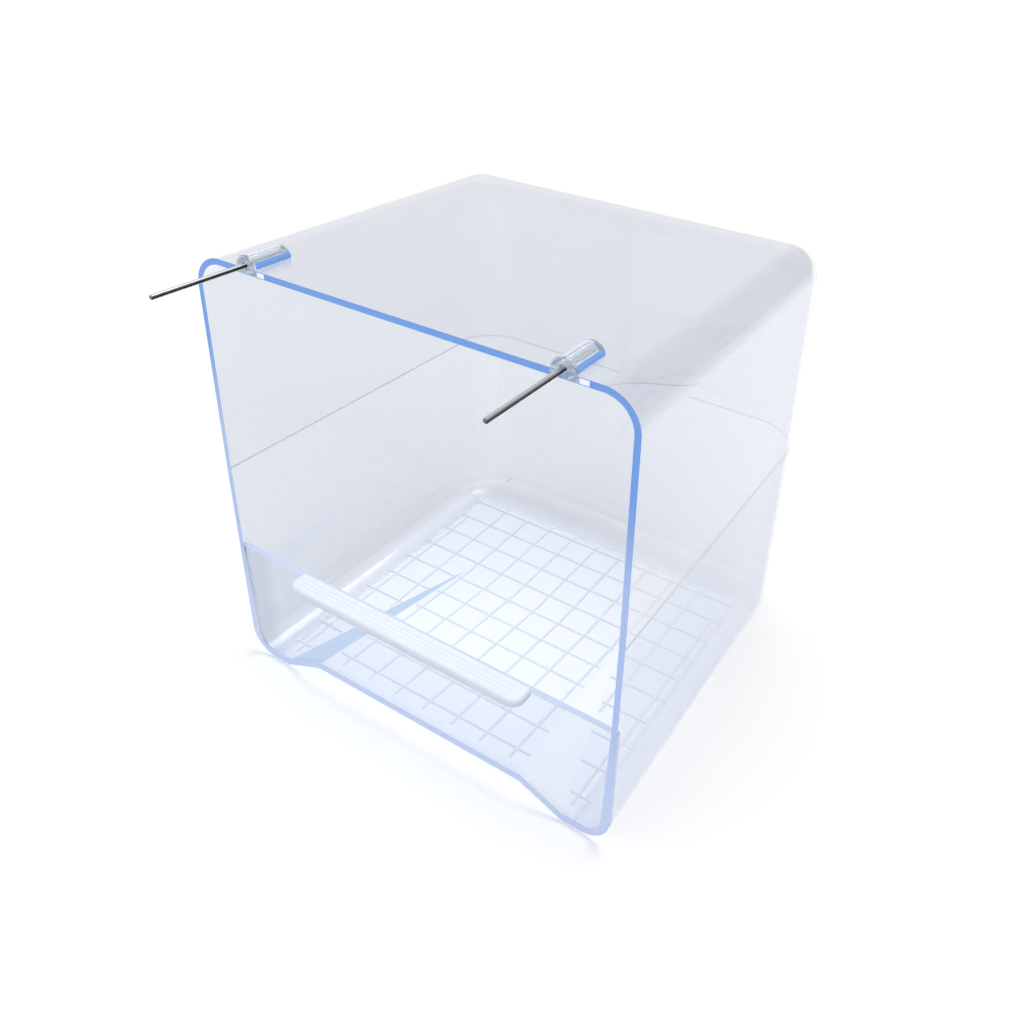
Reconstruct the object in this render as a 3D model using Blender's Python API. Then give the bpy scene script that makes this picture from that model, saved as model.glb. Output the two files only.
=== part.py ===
"""Hang-on bird bath: a clear hood and tray welded at mid height, and two steel pins.

Frame: the feet stand on z = 0, X is the width with x = 0 on the middle plane, and the
mouth faces -Y. The shapes are drawn with the mouth in the plane y = 0, and one empty
carries them all to their place, half way between the pin tips and the back face.
"""
import math

import bmesh
import bpy

# ---- driving dimensions, in metres
WIDTH = 0.140            # outside, at the welded seam
HEIGHT = 0.142           # feet to the outer top face
DEPTH = 0.127            # mouth to the outer back face
WALL = 0.0018
SEAM_HEIGHT = 0.0725     # the hood is welded to the tray here
SEAM_GAP = 0.0003
TOUCH_GAP = 0.0003       # between a pin and its socket

HOOD_DRAFT = 0.0006      # how far each hood side leans in, seam to top
TRAY_DRAFT = 0.0004      # how far each tray side leans in, seam to floor
TOP_CORNER = 0.0100      # outside radius of the edges that run front to back
BOTTOM_CORNER = 0.0090
BACK_SIDE_RADIUS = 0.0180    # upright edges at the back
BACK_TOP_RADIUS = 0.0140
BACK_FLOOR_RADIUS = 0.0130

SILL_HEIGHT = 0.0435     # the dam across the front that holds the water in
ARCH_HEIGHT = 0.0063     # how far the middle of the floor is lifted at the mouth
ARCH_LENGTH = 0.0680     # the lift fades out over this depth
ARCH_HALF_FRONT = 0.0394     # half width of the lifted strip at the mouth
ARCH_HALF_BACK = 0.0345      # and where it fades out
ARCH_SLOPE_WIDTH = 0.0148    # width of the slope beside it at the mouth

LEDGE_HALF = 0.0430      # perch ledge on the sill: half length, reach, thickness
LEDGE_REACH = 0.0067
LEDGE_THICKNESS = 0.0024
LEDGE_CORNER = 0.0042
LEDGE_RISE = 0.0002      # the ledge stands this far above the sill
GROOVE_COUNT = 4
GROOVE_FIRST = 0.0010    # from the sill's front face to the first groove
GROOVE_PITCH = 0.0014
GROOVE_WIDTH = 0.0004
GROOVE_DEPTH = 0.0003
GROOVE_OVERCUT = 0.0002  # the cutters stand this far above the ledge

RIB_PITCH = 0.0110       # square lattice of ribs on the floor
RIB_WIDTH = 0.0010
RIB_HEIGHT = 0.0004
RIB_TAPER = 0.8          # a rib's width at its top, as a share of RIB_WIDTH
RIB_ROOT = 0.0006        # how deep a rib is sunk into the floor
RIB_COLUMNS = 11
RIB_ROWS = 10
FIRST_ROW = 0.0095
RIB_OVERRUN = 0.0040     # the ribs run on past the last crossing

PIN_SPACING = 0.0986     # between the two pin axes
PIN_DIAMETER = 0.0014
PIN_LENGTH = 0.0385
PIN_REACH = 0.0275       # how far a pin stands out in front of the mouth
PIN_CHAMFER = 0.0002
PIN_RISE = 0.0006        # pin axis above the outer top face
BOSS_HALF_WIDTH = 0.0033
BOSS_HEIGHT = 0.0029
BOSS_LENGTH = 0.0134
BOSS_NOSE = 0.0012       # the far end of a boss is rounded over this length
FLANGE_RADIUS = 0.0035   # the round flange that fronts each boss
FLANGE_THICKNESS = 0.0009
SOCKET_DEPTH = 0.0118
SOCKET_OVERCUT = 0.0010  # the socket cutters start this far in front of the mouth

FRAME_NAME = "mouth_frame"

# ---- fineness of the curved faces
CORNER_STEPS = 6
BACK_STEPS = 6
ROUND_SIDES = 16
LIFT_STEPS = 8           # sections of a rib along the lifted part of the floor
THIN_SLOPE = 0.0004      # the slope is drawn at least this wide
WELD_DISTANCE = 1e-6


def clear_scene():
    for obj in list(bpy.data.objects):
        bpy.data.objects.remove(obj, do_unlink=True)


def plastic(name, colour):
    material = bpy.data.materials.new(name)
    material.use_nodes = True
    shader = material.node_tree.nodes["Principled BSDF"]
    shader.inputs["Base Color"].default_value = colour
    shader.inputs["Roughness"].default_value = 0.06
    shader.inputs["Metallic"].default_value = 0.0
    shader.inputs["IOR"].default_value = 1.59
    shader.inputs["Transmission Weight"].default_value = 1.0
    return material


def steel(name):
    material = bpy.data.materials.new(name)
    material.use_nodes = True
    shader = material.node_tree.nodes["Principled BSDF"]
    shader.inputs["Base Color"].default_value = (0.42, 0.43, 0.42, 1.0)
    shader.inputs["Roughness"].default_value = 0.28
    shader.inputs["Metallic"].default_value = 1.0
    return material


def make_object(name, bm, material, smooth_angle=None):
    bmesh.ops.recalc_face_normals(bm, faces=bm.faces)
    mesh = bpy.data.meshes.new(name)
    bm.to_mesh(mesh)
    bm.free()
    if material:
        mesh.materials.append(material)
    if smooth_angle is not None:
        mesh.shade_smooth()
        mesh.set_sharp_from_angle(angle=math.radians(smooth_angle))
    obj = bpy.data.objects.new(name, mesh)
    bpy.context.scene.collection.objects.link(obj)
    obj.parent = bpy.data.objects[FRAME_NAME]
    return obj


def add_frame():
    """The empty that every shape hangs on: its origin is the middle of the mouth."""
    frame = bpy.data.objects.new(FRAME_NAME, None)
    bpy.context.scene.collection.objects.link(frame)
    frame.location = (0.0, -(DEPTH - PIN_REACH) / 2, 0.0)


def boolean(obj, tool, operation):
    """Add or cut tool, which stays in the file as a hidden wire shape."""
    tool.hide_render = True
    tool.display_type = "WIRE"
    modifier = obj.modifiers.new(tool.name, "BOOLEAN")
    modifier.operation = operation
    modifier.solver = "EXACT"
    modifier.use_self = operation == "UNION"
    modifier.object = tool


def prism(bm, outline, shift):
    """A closed prism: the outline's points, and the same points moved by shift."""
    near = [bm.verts.new(point) for point in outline]
    far = [bm.verts.new([p + s for p, s in zip(point, shift)]) for point in outline]
    count = len(outline)
    bm.faces.new(near)
    bm.faces.new(far[::-1])
    for i in range(count):
        j = (i + 1) % count
        bm.faces.new((near[i], far[i], far[j], near[j]))


# ---- the box: sections across the width, one for each depth y

def edge_inset(y, radius, inward):
    """How far a face has moved in at depth y, on a back edge of this outside radius."""
    past = y - (DEPTH - radius)
    if past <= 0.0:
        return inward
    return radius - math.sqrt(max((radius - inward) ** 2 - past ** 2, 0.0))


def half_width(z, y, inward):
    inset = edge_inset(y, BACK_SIDE_RADIUS, inward)
    if z > SEAM_HEIGHT:
        lean = HOOD_DRAFT * (z - SEAM_HEIGHT) / (HEIGHT - SEAM_HEIGHT)
    else:
        lean = TRAY_DRAFT * (SEAM_HEIGHT - z) / SEAM_HEIGHT
    return WIDTH / 2 - inset - lean


def section_depths(inward, start):
    """Depths of the sections: the straight part, then the rounded back edges."""
    last = DEPTH - inward
    first = DEPTH - BACK_SIDE_RADIUS
    turns = [i * math.pi / 2 / BACK_STEPS for i in range(BACK_STEPS + 1)]
    return [start] + [first + (last - first) * math.sin(turn) for turn in turns]


def corner_arc(x, z, radius, start):
    """Points of a quarter turn about (x, z), going clockwise from the angle start."""
    turns = [start - i * math.pi / 2 / CORNER_STEPS for i in range(CORNER_STEPS + 1)]
    return [(x + radius * math.cos(a), z + radius * math.sin(a)) for a in turns]


def hood_section(y, inward):
    """The arch of the hood, from its left foot over the top to its right foot."""
    foot = SEAM_HEIGHT + SEAM_GAP / 2
    top = HEIGHT - edge_inset(y, BACK_TOP_RADIUS, inward)
    radius = TOP_CORNER - inward
    side = half_width(top - radius, y, inward)
    points = [(-half_width(foot, y, inward), foot)]
    points += corner_arc(radius - side, top - radius, radius, math.pi)
    points += corner_arc(side - radius, top - radius, radius, math.pi / 2)
    points.append((half_width(foot, y, inward), foot))
    return [(x, y, z) for x, z in points]


def arch_edges(y):
    """At depth y: how far the floor is lifted, and the lifted strip's two half widths."""
    fade = max(1.0 - y / ARCH_LENGTH, 0.0)
    top_edge = ARCH_HALF_BACK + (ARCH_HALF_FRONT - ARCH_HALF_BACK) * fade
    return ARCH_HEIGHT * fade, top_edge, top_edge + ARCH_SLOPE_WIDTH * fade


def tray_section(y, inward):
    """The trough of the tray, from its left rim under the floor to its right rim."""
    rim = SEAM_HEIGHT - SEAM_GAP / 2
    floor = edge_inset(y, BACK_FLOOR_RADIUS, inward)
    radius = BOTTOM_CORNER - inward
    side = half_width(floor + radius, y, inward)
    lift, top_edge, foot_edge = arch_edges(y)
    foot_edge = max(foot_edge, top_edge + THIN_SLOPE)
    left = [(-half_width(z, y, inward), z) for z in (rim, SILL_HEIGHT)]
    turns = [math.pi + i * math.pi / 2 / CORNER_STEPS for i in range(CORNER_STEPS + 1)]
    left += [(radius - side + radius * math.cos(a), floor + radius + radius * math.sin(a))
             for a in turns]
    left += [(-foot_edge, floor), (-top_edge, floor + lift)]
    right = [(-x, z) for x, z in reversed(left)]
    return [(x, y, z) for x, z in left + right]


def add_shell(bm, outer, inner):
    """Close two nested stacks of sections into one wall: back, mouth rim and seam."""
    outer = [[bm.verts.new(point) for point in section] for section in outer]
    inner = [[bm.verts.new(point) for point in section] for section in inner]
    for stack in (outer, inner):
        for near, far in zip(stack, stack[1:]):
            for i in range(len(near) - 1):
                bm.faces.new((near[i], near[i + 1], far[i + 1], far[i]))
        bm.faces.new(stack[-1])
    bm.faces.new(outer[0] + inner[0][::-1])
    left = [section[0] for section in outer] + [section[-1] for section in reversed(outer)]
    right = [section[-1] for section in inner] + [section[0] for section in reversed(inner)]
    bm.faces.new(left + right)


def build_hood(material):
    bm = bmesh.new()
    outer = [hood_section(y, 0.0) for y in section_depths(0.0, 0.0)]
    inner = [hood_section(y, WALL) for y in section_depths(WALL, 0.0)]
    add_shell(bm, outer, inner)
    bmesh.ops.triangulate(bm, faces=[f for f in bm.faces if len(f.verts) > 4])
    return make_object("hood", bm, material, 30)


def tray_depths(inward, start):
    """The hood's depths, with one more where the lift of the floor fades out."""
    depths = section_depths(inward, start)
    return depths[:1] + [ARCH_LENGTH] + depths[1:]


def build_tray(material):
    bm = bmesh.new()
    outer = [tray_section(y, 0.0) for y in tray_depths(0.0, 0.0)]
    inner = [tray_section(y, WALL) for y in tray_depths(WALL, WALL)]
    mouth = [(x, WALL, max(z, SILL_HEIGHT)) for x, y, z in inner[0]]
    front = [(x, 0.0, z) for x, y, z in mouth]
    add_shell(bm, outer, [front, mouth] + inner)
    bmesh.ops.remove_doubles(bm, verts=bm.verts, dist=WELD_DISTANCE)
    bmesh.ops.triangulate(bm, faces=[f for f in bm.faces if len(f.verts) > 4])
    return make_object("tray", bm, material, 30)


# ---- what is moulded on the hood and the tray

def half_round(name, x, steps):
    """A half round bar standing on the hood at x, its foot sunk in the wall.

    steps lists its sections from front to back: depth, half width, height, foot."""
    bm = bmesh.new()
    rings = []
    for y, half, height, foot in steps:
        points = [(x - half, y, HEIGHT - foot)]
        for i in range(ROUND_SIDES // 2 + 1):
            turn = math.pi - i * 2 * math.pi / ROUND_SIDES
            points.append((x + half * math.cos(turn), y, HEIGHT + height * math.sin(turn)))
        points.append((x + half, y, HEIGHT - foot))
        rings.append([bm.verts.new(point) for point in points])
    for near, far in zip(rings, rings[1:]):
        for i in range(len(near)):
            j = (i + 1) % len(near)
            bm.faces.new((near[i], near[j], far[j], far[i]))
    bm.faces.new(rings[0])
    bm.faces.new(rings[-1][::-1])
    return make_object(name, bm, None)


def boss_shape(x):
    foot = WALL / 2
    nose = BOSS_NOSE / 2
    return half_round("boss_shape", x, [
        (FLANGE_THICKNESS / 2, BOSS_HALF_WIDTH, BOSS_HEIGHT, foot),
        (BOSS_LENGTH - BOSS_NOSE, BOSS_HALF_WIDTH, BOSS_HEIGHT, foot),
        (BOSS_LENGTH, BOSS_HALF_WIDTH - nose, BOSS_HEIGHT - nose, foot)])


def flange_shape(x):
    foot = WALL * 2 / 3
    return half_round("flange_shape", x, [
        (0.0, FLANGE_RADIUS, FLANGE_RADIUS, foot),
        (FLANGE_THICKNESS, FLANGE_RADIUS, FLANGE_RADIUS, foot)])


def round_rod(bm, x, z, ends):
    """A turned rod along Y: ends lists its (y, radius) rings from front to back."""
    rings = []
    for y, radius in ends:
        turns = [i * 2 * math.pi / ROUND_SIDES for i in range(ROUND_SIDES)]
        rings.append([bm.verts.new((x + radius * math.cos(a), y, z + radius * math.sin(a)))
                      for a in turns])
    for near, far in zip(rings, rings[1:]):
        for i in range(ROUND_SIDES):
            j = (i + 1) % ROUND_SIDES
            bm.faces.new((near[i], near[j], far[j], far[i]))
    bm.faces.new(rings[0])
    bm.faces.new(rings[-1][::-1])


def socket_shape(x):
    bm = bmesh.new()
    radius = PIN_DIAMETER / 2 + TOUCH_GAP
    round_rod(bm, x, HEIGHT + PIN_RISE, [(-SOCKET_OVERCUT, radius), (SOCKET_DEPTH, radius)])
    return make_object("socket_shape", bm, None)


def ledge_shape():
    """The perch ledge: a plate with round outer corners, rooted in the sill."""
    bm = bmesh.new()
    bottom = SILL_HEIGHT + LEDGE_RISE - LEDGE_THICKNESS
    turns = [i * math.pi / 2 / CORNER_STEPS for i in range(CORNER_STEPS + 1)]
    centre_x = LEDGE_HALF - LEDGE_CORNER
    centre_y = LEDGE_CORNER - LEDGE_REACH
    right = [(LEDGE_HALF, WALL / 2)]
    right += [(centre_x + LEDGE_CORNER * math.cos(a), centre_y - LEDGE_CORNER * math.sin(a))
              for a in turns]
    outline = right + [(-x, y) for x, y in reversed(right)]
    prism(bm, [(x, y, bottom) for x, y in outline], (0.0, 0.0, LEDGE_THICKNESS))
    return make_object("ledge_shape", bm, None)


def groove_shape():
    bm = bmesh.new()
    top = SILL_HEIGHT + LEDGE_RISE
    half = LEDGE_HALF - LEDGE_CORNER
    for i in range(GROOVE_COUNT):
        y = -GROOVE_FIRST - i * GROOVE_PITCH
        outline = [(-half, y - GROOVE_WIDTH / 2, top + GROOVE_OVERCUT),
                   (-half, y + GROOVE_WIDTH / 2, top + GROOVE_OVERCUT),
                   (-half, y, top - GROOVE_DEPTH)]
        prism(bm, outline, (2 * half, 0.0, 0.0))
    return make_object("groove_shape", bm, None)


def floor_height(x, y):
    """Height of the tray's inner floor face."""
    lift, top_edge, foot_edge = arch_edges(y)
    if lift == 0.0:
        return WALL
    reach = min(max(foot_edge - abs(x), 0.0), foot_edge - top_edge)
    return WALL + lift * reach / (foot_edge - top_edge)


def rib_ring(x, y, across):
    """The corners of a rib's section at (x, y); across is its unit width direction."""
    base = floor_height(x, y)
    foot, top = RIB_WIDTH / 2, RIB_WIDTH / 2 * RIB_TAPER
    corners = [(-foot, -RIB_ROOT), (foot, -RIB_ROOT), (top, RIB_HEIGHT), (-top, RIB_HEIGHT)]
    return [(x + across[0] * side, y + across[1] * side, base + up) for side, up in corners]


def add_rib(bm, places, across):
    rings = [[bm.verts.new(point) for point in rib_ring(x, y, across)] for x, y in places]
    for near, far in zip(rings, rings[1:]):
        for i in range(4):
            j = (i + 1) % 4
            bm.faces.new((near[i], near[j], far[j], far[i]))
    bm.faces.new(rings[0])
    bm.faces.new(rings[-1][::-1])


def rib_shape():
    """The lattice of ribs, each following the lift of the floor under it."""
    bm = bmesh.new()
    half = RIB_PITCH * (RIB_COLUMNS - 1) / 2
    first = FIRST_ROW - RIB_OVERRUN
    last = FIRST_ROW + RIB_PITCH * (RIB_ROWS - 1)
    for row in range(RIB_ROWS):
        y = FIRST_ROW + RIB_PITCH * row
        lift, top_edge, foot_edge = arch_edges(y)
        reach = half + (RIB_OVERRUN if y < DEPTH - BACK_SIDE_RADIUS else -RIB_OVERRUN)
        stops = {-reach, reach}
        if lift > 0.0:
            stops |= {-foot_edge, -top_edge, top_edge, foot_edge}
        add_rib(bm, [(x, y) for x in sorted(stops)], (0.0, 1.0))
    for column in range(RIB_COLUMNS):
        x = column * RIB_PITCH - half
        end = last + (RIB_OVERRUN / 2 if abs(x) < half - RIB_PITCH / 2 else -RIB_PITCH)
        stops = [first + (ARCH_LENGTH - first) * i / LIFT_STEPS for i in range(LIFT_STEPS + 1)]
        stops.append(end)
        add_rib(bm, [(x, y) for y in stops], (1.0, 0.0))
    return make_object("rib_shape", bm, None)


def build_pin(name, x, material):
    """A straight wire pin, its origin on its own axis at the mouth plane."""
    bm = bmesh.new()
    radius = PIN_DIAMETER / 2
    front = -PIN_REACH
    back = front + PIN_LENGTH
    ends = [(front, radius - PIN_CHAMFER), (front + PIN_CHAMFER, radius),
            (back - PIN_CHAMFER, radius), (back, radius - PIN_CHAMFER)]
    round_rod(bm, 0.0, 0.0, ends)
    pin = make_object(name, bm, material, 40)
    pin.location = (x, 0.0, HEIGHT + PIN_RISE)
    return pin


def main():
    clear_scene()
    add_frame()
    clear_plastic = plastic("clear_plastic", (0.86, 0.90, 0.98, 1.0))
    pin_steel = steel("pin_steel")
    hood = build_hood(clear_plastic)
    tray = build_tray(clear_plastic.copy())
    boolean(tray, rib_shape(), "UNION")
    boolean(tray, ledge_shape(), "UNION")
    boolean(tray, groove_shape(), "DIFFERENCE")
    for side, name in ((-1, "pin_left"), (1, "pin_right")):
        x = side * PIN_SPACING / 2
        boolean(hood, boss_shape(x), "UNION")
        boolean(hood, flange_shape(x), "UNION")
        boolean(hood, socket_shape(x), "DIFFERENCE")
        build_pin(name, x, pin_steel.copy())


main()
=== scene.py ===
"""Looks of the hang-on bird bath: clear mouldings with blue edges, and drawn steel pins.

The hood and the tray are rebuilt here with fine round corners, in the places that the
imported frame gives. The mouth faces -Y and the bath stands on z = 0.
"""
import math

import bmesh
import bpy
from mathutils import Matrix, Vector


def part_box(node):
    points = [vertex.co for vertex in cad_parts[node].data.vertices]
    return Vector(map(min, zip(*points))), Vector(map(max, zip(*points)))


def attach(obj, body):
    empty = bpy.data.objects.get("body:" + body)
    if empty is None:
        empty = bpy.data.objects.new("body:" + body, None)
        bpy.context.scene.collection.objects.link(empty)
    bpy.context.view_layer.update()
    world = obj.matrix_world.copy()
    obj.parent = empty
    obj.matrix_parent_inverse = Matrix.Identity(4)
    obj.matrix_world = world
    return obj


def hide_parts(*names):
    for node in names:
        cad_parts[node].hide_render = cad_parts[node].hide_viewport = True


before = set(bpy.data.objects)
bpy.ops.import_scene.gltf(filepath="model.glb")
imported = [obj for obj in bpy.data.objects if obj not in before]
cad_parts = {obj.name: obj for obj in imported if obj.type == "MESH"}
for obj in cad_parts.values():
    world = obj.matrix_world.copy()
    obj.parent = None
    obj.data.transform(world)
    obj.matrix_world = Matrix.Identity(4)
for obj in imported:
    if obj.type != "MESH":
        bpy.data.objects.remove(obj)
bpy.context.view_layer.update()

# ---- from the frame
HOOD_LOW, HOOD_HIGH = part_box("hood")
TRAY_LOW, TRAY_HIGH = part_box("tray")
PIN_LOW, PIN_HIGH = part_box("pin_right")
BACK = TRAY_HIGH.y                       # outer back face
MOUTH = HOOD_LOW.y                       # the plane of the mouth
HALF_WIDTH = HOOD_HIGH.x                 # at the seam
SEAM = (TRAY_HIGH.z + HOOD_LOW.z) / 2
PIN_X = (PIN_LOW.x + PIN_HIGH.x) / 2
PIN_Z = (PIN_LOW.z + PIN_HIGH.z) / 2

# ---- the mouldings, in metres, as in the design
WALL = 0.0018
SEAM_GAP = 0.00012                       # the weld looks closer than the bodies stand
PIN_RISE = 0.0006                        # the pins' axes stand above the outer top face
HEIGHT = PIN_Z - PIN_RISE                # the outer top face
HOOD_DRAFT = 0.0006
TRAY_DRAFT = 0.0004
TOP_CORNER = 0.0100
LIP_WIDTH = 0.0027                       # the blue band is wider round the floor
BOTTOM_CORNER = 0.0090
BACK_SIDE_RADIUS = 0.0180
BACK_TOP_RADIUS = 0.0140
BACK_FLOOR_RADIUS = 0.0130
EDGE_ROUND = 0.00022                     # the moulded edges aren't sharp

SILL_HEIGHT = 0.0435
ARCH_HEIGHT = 0.0063
ARCH_LENGTH = 0.0680
ARCH_HALF_FRONT = 0.0394
ARCH_HALF_BACK = 0.0345
ARCH_SLOPE_WIDTH = 0.0148
LEAST_SLOPE = 0.0004                     # the slopes never close up altogether
SLOPE_TILT = 0.04                        # a floor face that leans more than this is a slope
FACE_TOLERANCE = 0.00001
WELD_DISTANCE = 0.000001

LEDGE_HALF = 0.0430
LEDGE_REACH = 0.0067
LEDGE_THICKNESS = 0.0024
LEDGE_CORNER = 0.0042
LEDGE_RISE = 0.0002
LEDGE_ROUNDING = 0.95                    # how much of its half thickness the rim is rounded by
GROOVE_COUNT = 4
GROOVE_PITCH = 0.0014
GROOVE_FIRST = 0.0010
GROOVE_RADIUS = 0.00022
GROOVE_LIFT = 0.3                        # a groove's axis above the ledge, in its radii
GROOVE_SIDES = 10

RIB_PITCH = 0.0110
RIB_RADIUS = 0.00065
RIB_COLUMNS = 11
RIB_ROWS = 10
FIRST_ROW = 0.0095
RIB_OVERRUN = 0.0040
RIB_SINK = 0.55                          # a rib's axis below the floor, in its radii
RIB_SIDES = 8
FLOOR_FADE = 0.0012                      # the white texture fades this far past the lattice
RIB_STOP = 0.0008                        # ribs stop this far from the slopes

BOSS_HALF_WIDTH = 0.0033
BOSS_HEIGHT = 0.0029
BOSS_LENGTH = 0.0134
BOSS_NOSE = 0.0009
BOSS_FLANK = 0.6                         # the sides are blue up to this angle, in radians
FLANGE_RADIUS = 0.0035
FLANGE_THICKNESS = 0.0009
WINDOW_NEAR = 0.0040                     # clear patch in the rim beside each boss; from WINDOW_NEAR on it is a painted highlight in white
WINDOW_FAR = 0.0068
WINDOW_DEPTH = 0.00012
SOCKET_DEPTH = 0.0118
SOCKET_RADIUS = 0.0010
SOCKET_OVERCUT = 0.0010

CORNER_STEPS = 24
BACK_STEPS = 18
ROUND_SIDES = 32
SMOOTH_LIMIT = 28.0                      # degrees
SHARP_ANGLE = 30.0                       # degrees

# ---- the looks
PLASTIC_IOR = 1.58
FAR_SIDE = (0.016, 0.008)                # the painted shade of the left and back sets in this far from the left face
FAR_BACK = (0.018, 0.010)                # and from the back face
FAR_TOP = (0.002, 0.009)                 # and this far below the top face
SCUFF_SIDE = (0.013, 0.007)              # the scuffed edge starts this far from the right face
SCUFF_TOP = (0.0095, 0.0065)             # and from the top face
SCUFF_FLOOR = 0.65                       # least and variable share of the scuffs
SCUFF_RANGE = 0.35
FADE_STEPS = 4                           # the white texture is gone after this many fades
FLOOR_GAP = 0.0002                       # the stage lies this far below the feet
WORLD_STRENGTH = 0.85
SUN_PLACE = (0.1, 0.3, 0.95)
SUN_STRENGTH = 1.04
SUN_SPREAD = 0.6                         # radians

CAMERA_YAW = 28.7                        # degrees
CAMERA_PITCH = -27.9
CAMERA_ROLL = 3.7
CAMERA_PLACE = (0.14257, -0.14942, 0.23219)     # from the middle of the mouth's foot
CAMERA_LENS = 32.326                     # mm, on a 36 mm sensor
CAMERA_SHIFT_RIGHT = -0.09453
CAMERA_SHIFT_UP = -0.12256

DEPTH = BACK - MOUTH


# ---- materials

def new_material(name):
    material = bpy.data.materials.new(name)
    material.use_nodes = True
    tree = material.node_tree
    return material, tree, tree.nodes["Principled BSDF"]


def node(tree, kind, **settings):
    made = tree.nodes.new(kind)
    for key, value in settings.items():
        setattr(made, key, value)
    return made


def scratches(tree, strength, distance):
    """Fine rubbing marks and a slow waviness, as on a handled moulding."""
    where = node(tree, "ShaderNodeTexCoord")
    stretch = node(tree, "ShaderNodeMapping")
    stretch.inputs["Scale"].default_value = (40.0, 900.0, 300.0)
    stretch.inputs["Rotation"].default_value = (0.2, 0.3, 0.5)
    fine = node(tree, "ShaderNodeTexNoise")
    fine.inputs["Scale"].default_value = 1.0
    fine.inputs["Detail"].default_value = 3.0
    wave = node(tree, "ShaderNodeTexNoise")
    wave.inputs["Scale"].default_value = 22.0
    wave.inputs["Detail"].default_value = 1.0
    mix = node(tree, "ShaderNodeMix", data_type="FLOAT")
    mix.inputs["Factor"].default_value = 0.9
    bump = node(tree, "ShaderNodeBump")
    bump.inputs["Strength"].default_value = strength
    bump.inputs["Distance"].default_value = distance
    tree.links.new(where.outputs["Object"], stretch.inputs["Vector"])
    tree.links.new(stretch.outputs["Vector"], fine.inputs["Vector"])
    tree.links.new(where.outputs["Object"], wave.inputs["Vector"])
    tree.links.new(fine.outputs["Fac"], mix.inputs["A"])
    tree.links.new(wave.outputs["Fac"], mix.inputs["B"])
    tree.links.new(mix.outputs["Result"], bump.inputs["Height"])
    return bump


def let_light_through(tree, shader, tint):
    """Shadow rays pass the clear plastic with a slight tint."""
    path = node(tree, "ShaderNodeLightPath")
    clear = node(tree, "ShaderNodeBsdfTransparent")
    clear.inputs["Color"].default_value = tint
    mix = node(tree, "ShaderNodeMixShader")
    out = tree.nodes["Material Output"]
    tree.links.new(path.outputs["Is Shadow Ray"], mix.inputs["Fac"])
    tree.links.new(shader.outputs[0], mix.inputs[1])
    tree.links.new(clear.outputs[0], mix.inputs[2])
    tree.links.new(mix.outputs[0], out.inputs["Surface"])


def smooth_range(tree, value, start, end):
    """0 before start and 1 after end, for the node output value."""
    span = node(tree, "ShaderNodeMapRange", interpolation_type="SMOOTHSTEP")
    span.inputs["From Min"].default_value = start
    span.inputs["From Max"].default_value = end
    tree.links.new(value, span.inputs["Value"])
    return span.outputs["Result"]


def combine(tree, operation, first, second):
    made = node(tree, "ShaderNodeMath", operation=operation)
    for socket, value in zip(made.inputs, (first, second)):
        if isinstance(value, float):
            socket.default_value = value
        else:
            tree.links.new(value, socket)
    return made.outputs["Value"]


def scuff_marks(tree, where):
    """Streaks of fine rubbing marks, as noise stretched along the depth."""
    stretch = node(tree, "ShaderNodeMapping")
    stretch.inputs["Scale"].default_value = (520.0, 90.0, 520.0)
    stretch.inputs["Rotation"].default_value = (0.0, 0.0, 0.35)
    noise = node(tree, "ShaderNodeTexNoise")
    noise.inputs["Scale"].default_value = 1.0
    noise.inputs["Detail"].default_value = 5.0
    tree.links.new(where, stretch.inputs["Vector"])
    tree.links.new(stretch.outputs["Vector"], noise.inputs["Vector"])
    return smooth_range(tree, noise.outputs["Fac"], 0.55, 0.72)


def clear_plastic(name, near, far, scuffed=False, shadow=(0.985, 0.985, 0.99, 1.0)):
    """Clear plastic: near is the tint of the right and top; far, the darker colour of the left
    and back, is painted shade.

    The darker far colour is painted shade that stands in for light the soft studio doesn't give."""
    material, tree, shader = new_material(name)
    shader.inputs["Roughness"].default_value = 0.02
    shader.inputs["IOR"].default_value = PLASTIC_IOR
    shader.inputs["Transmission Weight"].default_value = 1.0
    bump = scratches(tree, 0.015, 0.00005)
    tree.links.new(bump.outputs["Normal"], shader.inputs["Normal"])
    where = node(tree, "ShaderNodeTexCoord").outputs["Object"]
    split = node(tree, "ShaderNodeSeparateXYZ")
    tree.links.new(where, split.inputs["Vector"])
    x, y, z = (split.outputs[axis] for axis in "XYZ")
    left = smooth_range(tree, combine(tree, "MULTIPLY", x, -1.0),
                        HALF_WIDTH - FAR_SIDE[0], HALF_WIDTH - FAR_SIDE[1])
    back = smooth_range(tree, y, BACK - FAR_BACK[0], BACK - FAR_BACK[1])
    low = smooth_range(tree, combine(tree, "MULTIPLY", z, -1.0),
                       FAR_TOP[0] - HEIGHT, FAR_TOP[1] - HEIGHT)
    share = combine(tree, "MULTIPLY", combine(tree, "MAXIMUM", left, back), low)
    # painted shade: the mix lays the darker far colour over the tint near the left face and the
    # back face, below the top face
    tint = node(tree, "ShaderNodeMix", data_type="RGBA")
    tint.inputs["A"].default_value = near
    tint.inputs["B"].default_value = far
    tree.links.new(share, tint.inputs["Factor"])
    colour = tint.outputs["Result"]
    if scuffed:
        across = smooth_range(tree, x, HALF_WIDTH - SCUFF_SIDE[0], HALF_WIDTH - SCUFF_SIDE[1])
        above = smooth_range(tree, z, HEIGHT - SCUFF_TOP[0], HEIGHT - SCUFF_TOP[1])
        corner = combine(tree, "MULTIPLY", across, above)
        marks = combine(tree, "MULTIPLY", scuff_marks(tree, where), SCUFF_RANGE)
        worn = node(tree, "ShaderNodeMix", data_type="RGBA")
        worn.inputs["B"].default_value = (0.74, 0.75, 0.775, 1.0)
        tree.links.new(colour, worn.inputs["A"])
        amount = combine(tree, "ADD", marks, SCUFF_FLOOR)
        tree.links.new(combine(tree, "MULTIPLY", corner, amount), worn.inputs["Factor"])
        colour = worn.outputs["Result"]
    tree.links.new(colour, shader.inputs["Base Color"])
    let_light_through(tree, shader, shadow)
    return material


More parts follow.
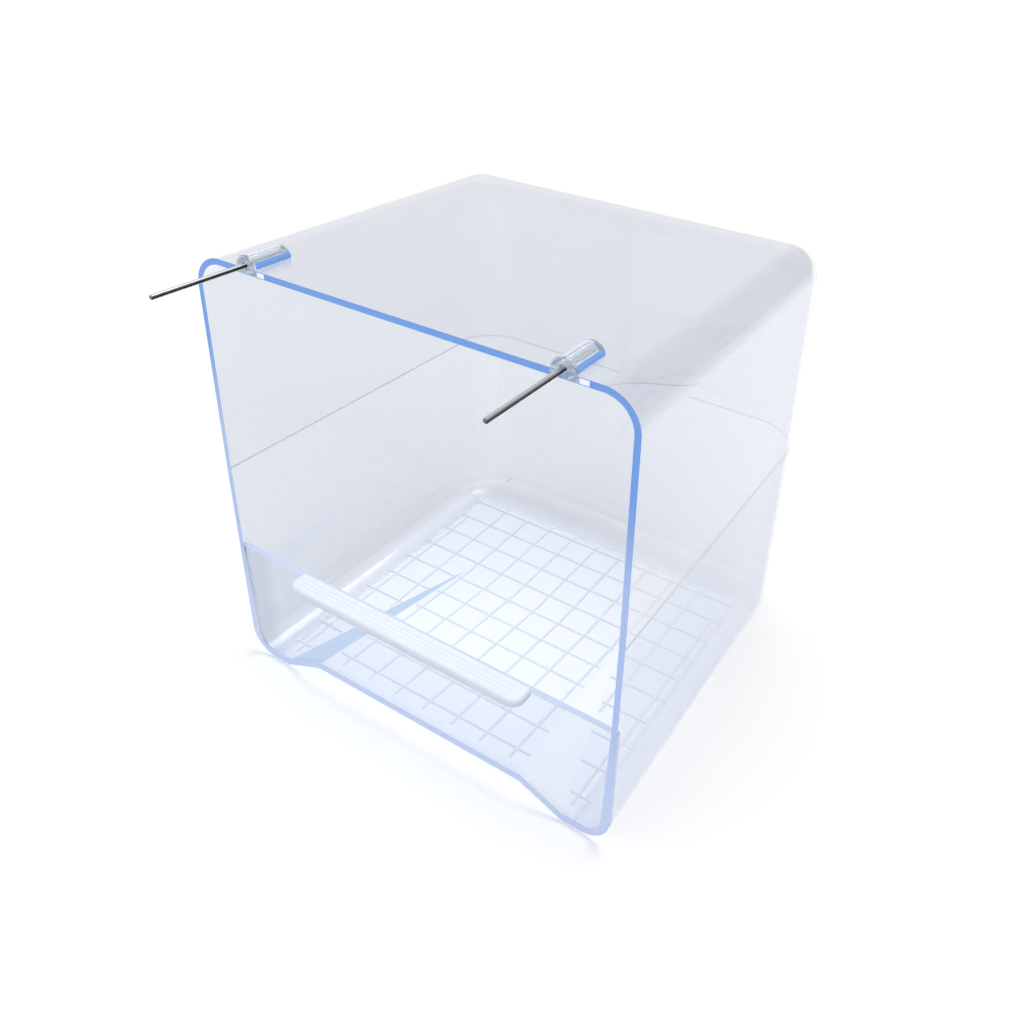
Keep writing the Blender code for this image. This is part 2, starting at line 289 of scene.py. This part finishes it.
def frosted_plastic(name, tint, transmission, roughness=0.3):
    """Textured or milky plastic: partly white, partly clear."""
    material, tree, shader = new_material(name)
    shader.inputs["Base Color"].default_value = tint
    shader.inputs["Roughness"].default_value = roughness
    shader.inputs["IOR"].default_value = PLASTIC_IOR
    shader.inputs["Transmission Weight"].default_value = transmission
    let_light_through(tree, shader, (0.98, 0.98, 0.99, 1.0))
    return material


def floor_plastic(name, tint, around):
    """White textured plastic under the lattice, clear beyond its edges."""
    material, tree, shader = new_material(name)
    shader.inputs["IOR"].default_value = PLASTIC_IOR
    where = node(tree, "ShaderNodeTexCoord").outputs["Object"]
    split = node(tree, "ShaderNodeSeparateXYZ")
    tree.links.new(where, split.inputs["Vector"])
    side = combine(tree, "ABSOLUTE", split.outputs["X"], 0.0)
    half = RIB_PITCH * (RIB_COLUMNS - 1) / 2
    last = MOUTH + FIRST_ROW + RIB_PITCH * (RIB_ROWS - 1)
    beside = smooth_range(tree, side, half + FLOOR_FADE, half + FADE_STEPS * FLOOR_FADE)
    behind = smooth_range(tree, split.outputs["Y"],
                          last + FLOOR_FADE, last + FADE_STEPS * FLOOR_FADE)
    outside = combine(tree, "MAXIMUM", beside, behind)
    for socket, inner, outer in (("Transmission Weight", 0.05, 1.0), ("Roughness", 0.3, 0.05)):
        span = node(tree, "ShaderNodeMapRange")
        span.inputs["To Min"].default_value = inner
        span.inputs["To Max"].default_value = outer
        tree.links.new(outside, span.inputs["Value"])
        tree.links.new(span.outputs["Result"], shader.inputs[socket])
    colour = node(tree, "ShaderNodeMix", data_type="RGBA")
    colour.inputs["A"].default_value = tint
    colour.inputs["B"].default_value = around
    tree.links.new(outside, colour.inputs["Factor"])
    tree.links.new(colour.outputs["Result"], shader.inputs["Base Color"])
    let_light_through(tree, shader, (0.98, 0.98, 0.985, 1.0))
    return material


def edge_plastic(name, low, middle, high):
    """Blue cut edges: the colour pales from high over middle to low, towards the feet."""
    material, tree, shader = new_material(name)
    where = node(tree, "ShaderNodeTexCoord")
    split = node(tree, "ShaderNodeSeparateXYZ")
    tree.links.new(where.outputs["Object"], split.inputs["Vector"])
    colour = None
    for tone, start, end in ((middle, 0.0, 0.4), (high, 0.6, 0.84)):
        share = smooth_range(tree, split.outputs["Z"], HEIGHT * start, HEIGHT * end)
        mix = node(tree, "ShaderNodeMix", data_type="RGBA")
        mix.inputs["A"].default_value = low
        mix.inputs["B"].default_value = tone
        if colour:
            tree.links.new(colour, mix.inputs["A"])
        tree.links.new(share, mix.inputs["Factor"])
        colour = mix.outputs["Result"]
    tree.links.new(colour, shader.inputs["Base Color"])
    shader.inputs["Roughness"].default_value = 0.18
    shader.inputs["IOR"].default_value = PLASTIC_IOR
    return material


def solid_plastic(name, colour):
    """An edge of one colour throughout."""
    material, tree, shader = new_material(name)
    shader.inputs["Base Color"].default_value = colour
    shader.inputs["Roughness"].default_value = 0.18
    shader.inputs["IOR"].default_value = PLASTIC_IOR
    return material


def steel(name):
    """Drawn wire: its bright top, the dark line along its lower side and its bright lowest edge
    are a painted reflection.
    """
    material, tree, shader = new_material(name)
    shader.inputs["Metallic"].default_value = 1.0
    shader.inputs["Roughness"].default_value = 0.26
    where = node(tree, "ShaderNodeTexCoord")
    # painted reflection: the grey follows how far the normal leans towards the upper left, as if
    # lit from there
    turn = node(tree, "ShaderNodeVectorMath", operation="DOT_PRODUCT")
    turn.inputs[1].default_value = (-0.5, 0.0, 0.87)
    half = combine(tree, "MULTIPLY", turn.outputs["Value"], 0.5)
    tone = node(tree, "ShaderNodeValToRGB")
    stops = ((0.0, 0.80), (0.08, 0.50), (0.15, 0.02), (0.30, 0.02),
             (0.46, 0.14), (0.66, 0.50), (1.0, 0.85))
    ramp = tone.color_ramp
    for place, grey in stops[1:-1]:
        ramp.elements.new(place).color = (grey * 0.97, grey, grey * 1.02, 1.0)
    ramp.elements[0].color = (stops[0][1],) * 3 + (1.0,)
    ramp.elements[-1].color = (stops[-1][1],) * 3 + (1.0,)
    # streaks along the wire: the marks of its drawing
    stretch = node(tree, "ShaderNodeMapping")
    stretch.inputs["Scale"].default_value = (2600.0, 60.0, 2600.0)
    streak = node(tree, "ShaderNodeTexNoise")
    streak.inputs["Scale"].default_value = 1.0
    streak.inputs["Detail"].default_value = 4.0
    # the painted reflection multiplied by the drawing streaks
    drawn = node(tree, "ShaderNodeMix", data_type="RGBA", blend_type="MULTIPLY")
    drawn.inputs["Factor"].default_value = 0.5
    tree.links.new(where.outputs["Normal"], turn.inputs[0])
    tree.links.new(combine(tree, "ADD", half, 0.5), tone.inputs["Fac"])
    tree.links.new(where.outputs["Object"], stretch.inputs["Vector"])
    tree.links.new(stretch.outputs["Vector"], streak.inputs["Vector"])
    tree.links.new(tone.outputs["Color"], drawn.inputs["A"])
    tree.links.new(streak.outputs["Fac"], drawn.inputs["B"])
    tree.links.new(drawn.outputs["Result"], shader.inputs["Base Color"])
    return material


# ---- the box: sections across the width, one for each depth y behind the mouth

def edge_inset(y, radius, inward):
    past = y - (DEPTH - radius)
    if past <= 0.0:
        return inward
    return radius - math.sqrt(max((radius - inward) ** 2 - past ** 2, 0.0))


def half_width(z, y, inward):
    inset = edge_inset(y, BACK_SIDE_RADIUS, inward)
    if z > SEAM:
        lean = HOOD_DRAFT * (z - SEAM) / (HEIGHT - SEAM)
    else:
        lean = TRAY_DRAFT * (SEAM - z) / SEAM
    return HALF_WIDTH - inset - lean


def section_depths(inward):
    last = DEPTH - inward
    first = DEPTH - BACK_SIDE_RADIUS
    turns = [i * math.pi / 2 / BACK_STEPS for i in range(BACK_STEPS + 1)]
    return [first + (last - first) * math.sin(turn) for turn in turns]


def quarter(x, z, radius, start, turn):
    """Points of a quarter turn about (x, z) from the angle start; turn is 1 or -1."""
    angles = [start + turn * i * math.pi / 2 / CORNER_STEPS for i in range(CORNER_STEPS + 1)]
    return [(x + radius * math.cos(a), z + radius * math.sin(a)) for a in angles]


def hood_section(y, inward):
    foot = SEAM + SEAM_GAP / 2
    top = HEIGHT - edge_inset(y, BACK_TOP_RADIUS, inward)
    radius = TOP_CORNER - inward
    side = half_width(top - radius, y, inward)
    points = [(-half_width(foot, y, inward), foot)]
    points += quarter(radius - side, top - radius, radius, math.pi, -1)
    points += quarter(side - radius, top - radius, radius, math.pi / 2, -1)
    points.append((half_width(foot, y, inward), foot))
    return [(x, MOUTH + y, z) for x, z in points]


def arch_edges(y):
    fade = max(1.0 - y / ARCH_LENGTH, 0.0)
    top_edge = ARCH_HALF_BACK + (ARCH_HALF_FRONT - ARCH_HALF_BACK) * fade
    return ARCH_HEIGHT * fade, top_edge, top_edge + ARCH_SLOPE_WIDTH * fade


def tray_section(y, inward):
    rim = SEAM - SEAM_GAP / 2
    floor = edge_inset(y, BACK_FLOOR_RADIUS, inward)
    radius = BOTTOM_CORNER - inward
    side = half_width(floor + radius, y, inward)
    lift, top_edge, foot_edge = arch_edges(y)
    foot_edge = max(foot_edge, top_edge + LEAST_SLOPE)
    left = [(-half_width(rim, y, inward), rim),
            (-half_width(SILL_HEIGHT, y, inward), SILL_HEIGHT)]
    left += quarter(radius - side, floor + radius, radius, math.pi, 1)
    left += [(-foot_edge, floor), (-top_edge, floor + lift)]
    right = [(-x, z) for x, z in reversed(left)]
    return [(x, MOUTH + y, z) for x, z in left + right]


def add_shell(bm, outer, inner, edge_slot, seam_slot):
    """Close two nested stacks of sections into one wall: back, mouth rim and seam."""
    outer = [[bm.verts.new(point) for point in section] for section in outer]
    inner = [[bm.verts.new(point) for point in section] for section in inner]
    for stack in (outer, inner):
        for near, far in zip(stack, stack[1:]):
            for i in range(len(near) - 1):
                bm.faces.new((near[i], near[i + 1], far[i + 1], far[i]))
        bm.faces.new(stack[-1])
    for i in range(len(outer[0]) - 1):
        rim = bm.faces.new((outer[0][i], outer[0][i + 1], inner[0][i + 1], inner[0][i]))
        rim.material_index = edge_slot
    left = [section[0] for section in outer] + [section[-1] for section in reversed(outer)]
    right = [section[-1] for section in inner] + [section[0] for section in reversed(inner)]
    bm.faces.new(left + right).material_index = seam_slot


def finish_mesh(name, bm, materials):
    bmesh.ops.recalc_face_normals(bm, faces=bm.faces)
    mesh = bpy.data.meshes.new(name)
    bm.to_mesh(mesh)
    bm.free()
    for material in materials:
        mesh.materials.append(material)
    mesh.shade_smooth()
    mesh.set_sharp_from_angle(angle=math.radians(SHARP_ANGLE))
    obj = bpy.data.objects.new(name, mesh)
    bpy.context.scene.collection.objects.link(obj)
    return obj


def boolean(obj, tool, operation):
    tool.hide_render = True
    modifier = obj.modifiers.new(tool.name, "BOOLEAN")
    modifier.operation = operation
    modifier.solver = "EXACT"
    modifier.use_self = operation == "UNION"
    modifier.material_mode = "TRANSFER"
    modifier.object = tool


def even_normals(mesh):
    """Smooth the small steps of the round edges and keep the wide faces flat.

    At each corner the face directions within SMOOTH_LIMIT are averaged, each weighted
    by the area of all the faces that look the same way."""
    areas = {}
    keys = []
    for polygon in mesh.polygons:
        key = tuple(round(c, 3) for c in polygon.normal)
        keys.append(key)
        areas[key] = areas.get(key, 0.0) + polygon.area
    around = [{} for vertex in mesh.vertices]
    for polygon, key in zip(mesh.polygons, keys):
        for vertex in polygon.vertices:
            around[vertex][key] = polygon.normal.copy()
    limit = math.cos(math.radians(SMOOTH_LIMIT))
    normals = []
    for polygon in mesh.polygons:
        for vertex in polygon.vertices:
            total = Vector((0.0, 0.0, 0.0))
            for key, normal in around[vertex].items():
                if normal.dot(polygon.normal) > limit:
                    total += normal * areas[key]
            normals.append(total.normalized() if total.length > 0.0 else polygon.normal.copy())
    mesh.shade_smooth()
    mesh.normals_split_custom_set(normals)


def bake_modifiers(obj, tools):
    """Keep the evaluated mesh and delete the tools."""
    graph = bpy.context.evaluated_depsgraph_get()
    mesh = bpy.data.meshes.new_from_object(obj.evaluated_get(graph), depsgraph=graph)
    obj.modifiers.clear()
    old = obj.data
    obj.data = mesh
    bpy.data.meshes.remove(old)
    for tool in tools:
        bpy.data.objects.remove(tool, do_unlink=True)
    even_normals(mesh)


# Slots of the shells' materials; the tray has them all and the hood the first three.
CLEAR, EDGE, WELD, SILL, FLOOR, LEFT_SLOPE, RIGHT_SLOPE, SIDE_EDGE = range(8)


def build_hood(materials):
    bm = bmesh.new()
    outer = [hood_section(0.0, 0.0)] + [hood_section(y, 0.0) for y in section_depths(0.0)]
    inner = [hood_section(0.0, WALL)] + [hood_section(y, WALL) for y in section_depths(WALL)]
    add_shell(bm, outer, inner, EDGE, WELD)
    return finish_mesh("hood_shell", bm, materials)


def build_tray(materials):
    bm = bmesh.new()
    outer = [tray_section(y, 0.0) for y in [0.0, WALL, ARCH_LENGTH] + section_depths(0.0)]
    inner = [tray_section(y, WALL) for y in [WALL, ARCH_LENGTH] + section_depths(WALL)]
    mouth = [(x, MOUTH + WALL, max(z, SILL_HEIGHT)) for x, y, z in inner[0]]
    front = [(x, MOUTH, z) for x, y, z in mouth]
    lip = []
    for wide, point in zip(tray_section(0.0, LIP_WIDTH), inner[0]):
        x, y, z = wide if wide[2] < SILL_HEIGHT - WALL else point
        lip.append((x, MOUTH, z))
    add_shell(bm, outer, [lip, front, mouth] + inner, EDGE, WELD)
    bmesh.ops.remove_doubles(bm, verts=bm.verts, dist=WELD_DISTANCE)
    bmesh.ops.recalc_face_normals(bm, faces=bm.faces)
    for face in bm.faces:
        middle = face.calc_center_median()
        if abs(middle.z - SILL_HEIGHT) < FACE_TOLERANCE and abs(face.normal.z) > 0.5:
            face.material_index = SILL
        elif middle.y < MOUTH + WALL and middle.z < SILL_HEIGHT and abs(face.normal.y) < 0.5:
            face.material_index = SIDE_EDGE
        elif face.normal.z > 0.5 and middle.z < SILL_HEIGHT / 2:
            face.material_index = FLOOR
            # the left and right slopes get their own materials for painted shade and painted
            # light
            slope_foot = ARCH_HALF_FRONT + ARCH_SLOPE_WIDTH
            if SLOPE_TILT < abs(face.normal.x) and abs(middle.x) < slope_foot:
                face.material_index = LEFT_SLOPE if middle.x < 0.0 else RIGHT_SLOPE
    return finish_mesh("tray_shell", bm, materials)


def rod(bm, x, z, ends):
    rings = []
    for y, radius in ends:
        turns = [i * 2 * math.pi / ROUND_SIDES for i in range(ROUND_SIDES)]
        rings.append([bm.verts.new((x + radius * math.cos(a), y, z + radius * math.sin(a)))
                      for a in turns])
    for near, far in zip(rings, rings[1:]):
        for i in range(ROUND_SIDES):
            j = (i + 1) % ROUND_SIDES
            bm.faces.new((near[i], near[j], far[j], far[i]))
    bm.faces.new(rings[0])
    bm.faces.new(rings[-1][::-1])


def half_round(y, half, height, root):
    """Outline at depth y of a half round shape that stands on the top face."""
    points = [(-half, y, root)]
    for i in range(ROUND_SIDES // 2 + 1):
        turn = math.pi - i * 2 * math.pi / ROUND_SIDES
        points.append((half * math.cos(turn), y, HEIGHT + height * math.sin(turn)))
    points.append((half, y, root))
    return points


def half_round_tool(name, x, steps, root, materials, flank_slot=0):
    """A closed half round bar; its flanks and its far end can have their own material."""
    bm = bmesh.new()
    rings = []
    for y, half, height in steps:
        rings.append([bm.verts.new((px + x, MOUTH + py, pz))
                      for px, py, pz in half_round(y, half, height, root)])
    for near, far in zip(rings, rings[1:]):
        for i in range(len(near)):
            j = (i + 1) % len(near)
            face = bm.faces.new((near[i], near[j], far[j], far[i]))
            middle = face.calc_center_median()
            if math.atan2(middle.z - HEIGHT, abs(middle.x - x)) < BOSS_FLANK:
                face.material_index = flank_slot
    bm.faces.new(rings[0])
    bm.faces.new(rings[-1][::-1]).material_index = flank_slot
    return finish_mesh(name, bm, materials)


def boss_tool(x, materials):
    nose = BOSS_LENGTH - BOSS_NOSE
    steps = ((FLANGE_THICKNESS / 2, BOSS_HALF_WIDTH, BOSS_HEIGHT),
             (nose, BOSS_HALF_WIDTH, BOSS_HEIGHT),
             (BOSS_LENGTH, BOSS_HALF_WIDTH - BOSS_NOSE, BOSS_HEIGHT - BOSS_NOSE))
    return half_round_tool("boss_tool", x, steps, HEIGHT - WALL / 2, materials, 1)


def flange_tool(x, materials):
    """The round flange at the front of a boss, with rounded edges."""
    inner = FLANGE_RADIUS - EDGE_ROUND
    back = FLANGE_THICKNESS - EDGE_ROUND
    steps = ((0.0, inner, inner), (EDGE_ROUND, FLANGE_RADIUS, FLANGE_RADIUS),
             (back, FLANGE_RADIUS, FLANGE_RADIUS), (FLANGE_THICKNESS, inner, inner))
    return half_round_tool("flange_tool", x, steps, HEIGHT - WALL * 0.6, materials)


def window_tool(name, start, end, materials):
    """A shallow patch in the rim's front face, from x = start to x = end."""
    bm = bmesh.new()
    bmesh.ops.create_cube(bm, size=1.0)
    size = Vector((end - start, WINDOW_DEPTH * 2, WALL - 2 * EDGE_ROUND))
    bmesh.ops.scale(bm, vec=size, verts=bm.verts)
    middle = Vector(((start + end) / 2, MOUTH, HEIGHT - WALL / 2))
    bmesh.ops.translate(bm, vec=middle, verts=bm.verts)
    return finish_mesh(name, bm, materials)


def socket_tool(x, materials):
    bm = bmesh.new()
    rod(bm, x, PIN_Z, [(MOUTH - SOCKET_OVERCUT, SOCKET_RADIUS),
                       (MOUTH + SOCKET_DEPTH, SOCKET_RADIUS)])
    return finish_mesh("socket_tool", bm, materials)


def ledge_tool(materials):
    bm = bmesh.new()
    bottom = SILL_HEIGHT + LEDGE_RISE - LEDGE_THICKNESS
    turns = [i * math.pi / 2 / CORNER_STEPS for i in range(CORNER_STEPS + 1)]

    def plate(shrink, z):
        reach, corner = LEDGE_REACH - shrink, LEDGE_CORNER - shrink
        half = LEDGE_HALF - shrink
        right = [(half, WALL / 2)]
        right += [(half - corner + corner * math.cos(a), corner - reach - corner * math.sin(a))
                  for a in turns]
        outline = right + [(-x, y) for x, y in reversed(right)]
        return [bm.verts.new((x, MOUTH + y, z)) for x, y in outline]

    lip = LEDGE_THICKNESS / 2 * LEDGE_ROUNDING
    rings = []
    for i in range(CORNER_STEPS + 1):
        turn = -math.pi / 2 + i * math.pi / CORNER_STEPS
        rings.append(plate(lip * (1 - math.cos(turn)),
                           bottom + LEDGE_THICKNESS / 2 * (1 + math.sin(turn))))
    for near, far in zip(rings, rings[1:]):
        for i in range(len(near)):
            j = (i + 1) % len(near)
            bm.faces.new((near[i], near[j], far[j], far[i])).material_index = 1
    bm.faces.new(rings[0])
    bm.faces.new(rings[-1][::-1])
    return finish_mesh("ledge_tool", bm, materials)


def groove_tool(materials):
    bm = bmesh.new()
    top = SILL_HEIGHT + LEDGE_RISE + GROOVE_RADIUS * GROOVE_LIFT
    half = LEDGE_HALF - LEDGE_CORNER
    for i in range(GROOVE_COUNT):
        y = MOUTH - GROOVE_FIRST - i * GROOVE_PITCH
        rings = []
        for x in (-half, half):
            turns = [k * 2 * math.pi / GROOVE_SIDES for k in range(GROOVE_SIDES)]
            rings.append([bm.verts.new((x, y + GROOVE_RADIUS * math.cos(a),
                                        top + GROOVE_RADIUS * math.sin(a))) for a in turns])
        for k in range(GROOVE_SIDES):
            j = (k + 1) % GROOVE_SIDES
            bm.faces.new((rings[0][k], rings[0][j], rings[1][j], rings[1][k]))
        bm.faces.new(rings[0])
        bm.faces.new(rings[1][::-1])
    return finish_mesh("groove_tool", bm, materials)


def floor_height(x, y):
    lift, top_edge, foot_edge = arch_edges(y)
    if foot_edge - top_edge < WELD_DISTANCE:
        return WALL
    reach = min(max(foot_edge - abs(x), 0.0), foot_edge - top_edge)
    return WALL + lift * reach / (foot_edge - top_edge)


def rib_tool(materials):
    bm = bmesh.new()
    half = RIB_PITCH * (RIB_COLUMNS - 1) / 2
    last = FIRST_ROW + RIB_PITCH * (RIB_ROWS - 1)

    def add_rib(places, across):
        rings = []
        for x, y in places:
            base = floor_height(x, y) - RIB_RADIUS * RIB_SINK
            ring = []
            for k in range(RIB_SIDES):
                a = (k + 0.5) * 2 * math.pi / RIB_SIDES
                off = RIB_RADIUS * math.cos(a)
                ring.append(bm.verts.new((x + across[0] * off, MOUTH + y + across[1] * off,
                                          base + RIB_RADIUS * math.sin(a))))
            rings.append(ring)
        for near, far in zip(rings, rings[1:]):
            for k in range(RIB_SIDES):
                j = (k + 1) % RIB_SIDES
                bm.faces.new((near[k], near[j], far[j], far[k]))
        bm.faces.new(rings[0])
        bm.faces.new(rings[-1][::-1])

    for row in range(RIB_ROWS):
        y = FIRST_ROW + RIB_PITCH * row
        lift, top_edge, foot_edge = arch_edges(y)
        reach = half + (RIB_OVERRUN if y < DEPTH - BACK_SIDE_RADIUS else -RIB_OVERRUN)
        if lift > 0.0:
            inside, outside = top_edge - RIB_STOP, foot_edge + RIB_STOP
            add_rib([(-reach, y), (-outside, y)], (0.0, 1.0))
            add_rib([(-inside, y), (inside, y)], (0.0, 1.0))
            add_rib([(outside, y), (reach, y)], (0.0, 1.0))
        else:
            add_rib([(-reach, y), (reach, y)], (0.0, 1.0))
    for column in range(RIB_COLUMNS):
        x = column * RIB_PITCH - half
        end = last + (RIB_OVERRUN / 2 if abs(x) < half - RIB_PITCH / 2 else -RIB_PITCH)
        start = FIRST_ROW - RIB_OVERRUN
        while arch_edges(start)[1] - RIB_STOP < abs(x) < arch_edges(start)[2] + RIB_STOP:
            start += RIB_STOP / 2
        stops = [start, ARCH_LENGTH, end] if start < ARCH_LENGTH else [start, end]
        add_rib([(x, y) for y in stops], (1.0, 0.0))
    return finish_mesh("rib_tool", bm, materials)


# ---- stage, light and camera

def soft_sun(name, place, strength, spread):
    """Even soft light from the direction of place; spread is its angle in radians."""
    data = bpy.data.lights.new(name, "SUN")
    data.energy = strength
    data.angle = spread
    lamp = bpy.data.objects.new(name, data)
    lamp.location = place
    lamp.rotation_euler = (-Vector(place)).to_track_quat("-Z", "Y").to_euler()
    bpy.context.scene.collection.objects.link(lamp)


def add_stage():
    bpy.ops.mesh.primitive_plane_add(size=80.0, location=(0, 0, -FLOOR_GAP))
    floor = bpy.context.object
    floor.name = "floor"
    material, tree, shader = new_material("floor_white")
    shader.inputs["Base Color"].default_value = (0.96, 0.963, 0.967, 1.0)
    shader.inputs["Roughness"].default_value = 0.9
    shader.inputs["Specular IOR Level"].default_value = 0.0
    floor.data.materials.append(material)
    world = bpy.data.worlds.new("studio")
    bpy.context.scene.world = world
    world.use_nodes = True
    back = world.node_tree.nodes["Background"]
    back.inputs["Color"].default_value = (1.0, 1.0, 1.0, 1.0)
    back.inputs["Strength"].default_value = WORLD_STRENGTH
    soft_sun("soft_sun", SUN_PLACE, SUN_STRENGTH, SUN_SPREAD)


def add_camera():
    yaw, pitch, roll = (math.radians(a) for a in (CAMERA_YAW, CAMERA_PITCH, CAMERA_ROLL))
    forward = Vector((-math.sin(yaw) * math.cos(pitch), math.cos(yaw) * math.cos(pitch),
                      math.sin(pitch)))
    right = Vector((math.cos(yaw), math.sin(yaw), 0.0))
    up = right.cross(forward)
    right, up = (math.cos(roll) * right + math.sin(roll) * up,
                 -math.sin(roll) * right + math.cos(roll) * up)
    data = bpy.data.cameras.new("camera")
    data.sensor_width = 36.0
    data.lens = CAMERA_LENS
    data.shift_x = CAMERA_SHIFT_RIGHT
    data.shift_y = CAMERA_SHIFT_UP
    data.clip_start = 0.01
    camera = bpy.data.objects.new("camera", data)
    rotation = Matrix((right, up, -forward)).transposed().to_4x4()
    place = Vector(CAMERA_PLACE) + Vector((0.0, MOUTH, 0.0))
    camera.matrix_world = Matrix.Translation(place) @ rotation
    bpy.context.scene.collection.objects.link(camera)
    bpy.context.scene.camera = camera


def main():
    add_camera()
    # the second colour of each clear plastic is painted shade on its left and back walls
    clear = clear_plastic("hood_clear", (0.90, 0.91, 0.94, 1.0), (0.71, 0.73, 0.78, 1.0), True)
    low_clear = clear_plastic("tray_clear", (0.83, 0.86, 0.92, 1.0), (0.72, 0.75, 0.81, 1.0),
                              False, (0.94, 0.94, 0.95, 1.0))
    boss_clear = frosted_plastic("boss_clear", (0.88, 0.93, 1.0, 1.0), 0.72, 0.05)
    edge = edge_plastic("rim_edge", (0.53, 0.63, 0.90, 1.0), (0.38, 0.50, 0.85, 1.0),
                        (0.13, 0.32, 0.78, 1.0))
    sill = solid_plastic("sill_edge", (0.53, 0.61, 0.79, 1.0))
    side_edge = frosted_plastic("side_edge", (0.62, 0.72, 0.92, 1.0), 0.5)
    flank = solid_plastic("boss_flank", (0.16, 0.38, 0.86, 1.0))
    weld = frosted_plastic("weld", (0.88, 0.91, 0.96, 1.0), 0.5, 0.2)
    line = frosted_plastic("rib_clear", (0.79, 0.85, 0.95, 1.0), 0.2)
    floor = floor_plastic("floor_white_texture", (0.91, 0.95, 1.0, 1.0), (0.82, 0.84, 0.89, 1.0))
    # painted shade and light: the two slopes are one moulding; the left is painted darker and
    # bluer, the right nearly white
    left_slope_painted_shade = frosted_plastic("left_slope_painted_shade", (0.55, 0.72, 0.92, 1.0), 0.3)
    right_slope_painted_light = frosted_plastic("right_slope_painted_light", (0.95, 0.98, 1.0, 1.0), 0.02)
    # painted highlight: nearly opaque white in the clear rim
    window_painted_highlight = frosted_plastic("window_white_painted_highlight", (0.97, 0.98, 1.0, 1.0), 0.05)
    ledge_lip = frosted_plastic("ledge_lip", (0.62, 0.66, 0.74, 1.0), 0.1, 0.35)
    ledge_milky = frosted_plastic("ledge_milky", (0.80, 0.85, 0.95, 1.0), 0.2, 0.35)
    hood = build_hood([clear, edge, weld])
    tools = []
    for x in (-PIN_X, PIN_X):
        boss = boss_tool(x, [boss_clear, flank])
        flange = flange_tool(x, [boss_clear])
        socket = socket_tool(x, [boss_clear])
        gate = window_tool("gate_tool", x - FLANGE_RADIUS, x + WINDOW_NEAR, [boss_clear])
        # the far part of the patch carries the painted highlight
        window = window_tool("window_tool", x + WINDOW_NEAR + EDGE_ROUND, x + WINDOW_FAR,
                             [window_painted_highlight])
        for tool, operation in ((boss, "UNION"), (flange, "UNION"), (socket, "DIFFERENCE"),
                                (gate, "DIFFERENCE"), (window, "DIFFERENCE")):
            boolean(hood, tool, operation)
            tools.append(tool)
    tray = build_tray([low_clear, edge, weld, sill, floor, left_slope_painted_shade, right_slope_painted_light,
                       side_edge])
    ribs = rib_tool([line])
    ledge = ledge_tool([ledge_milky, ledge_lip])
    grooves = groove_tool([ledge_milky])
    boolean(tray, ribs, "UNION")
    boolean(tray, ledge, "UNION")
    boolean(tray, grooves, "DIFFERENCE")
    bake_modifiers(hood, tools)
    bake_modifiers(tray, [ribs, ledge, grooves])
    for piece, cad in ((hood, "hood"), (tray, "tray")):
        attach(piece, "bath")
        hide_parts(cad)
    for name in ("pin_left", "pin_right"):
        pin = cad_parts[name]
        pin.data.materials.clear()
        # the pins' steel carries a painted reflection
        pin.data.materials.append(steel(name + "_steel_painted_reflection"))
    add_stage()
    scene = bpy.context.scene
    scene.view_settings.view_transform = "Standard"
    scene.cycles.use_denoising = True
    scene.cycles.max_bounces = 48
    scene.cycles.transmission_bounces = 48
    scene.cycles.glossy_bounces = 32
    scene.cycles.transparent_max_bounces = 48


main()
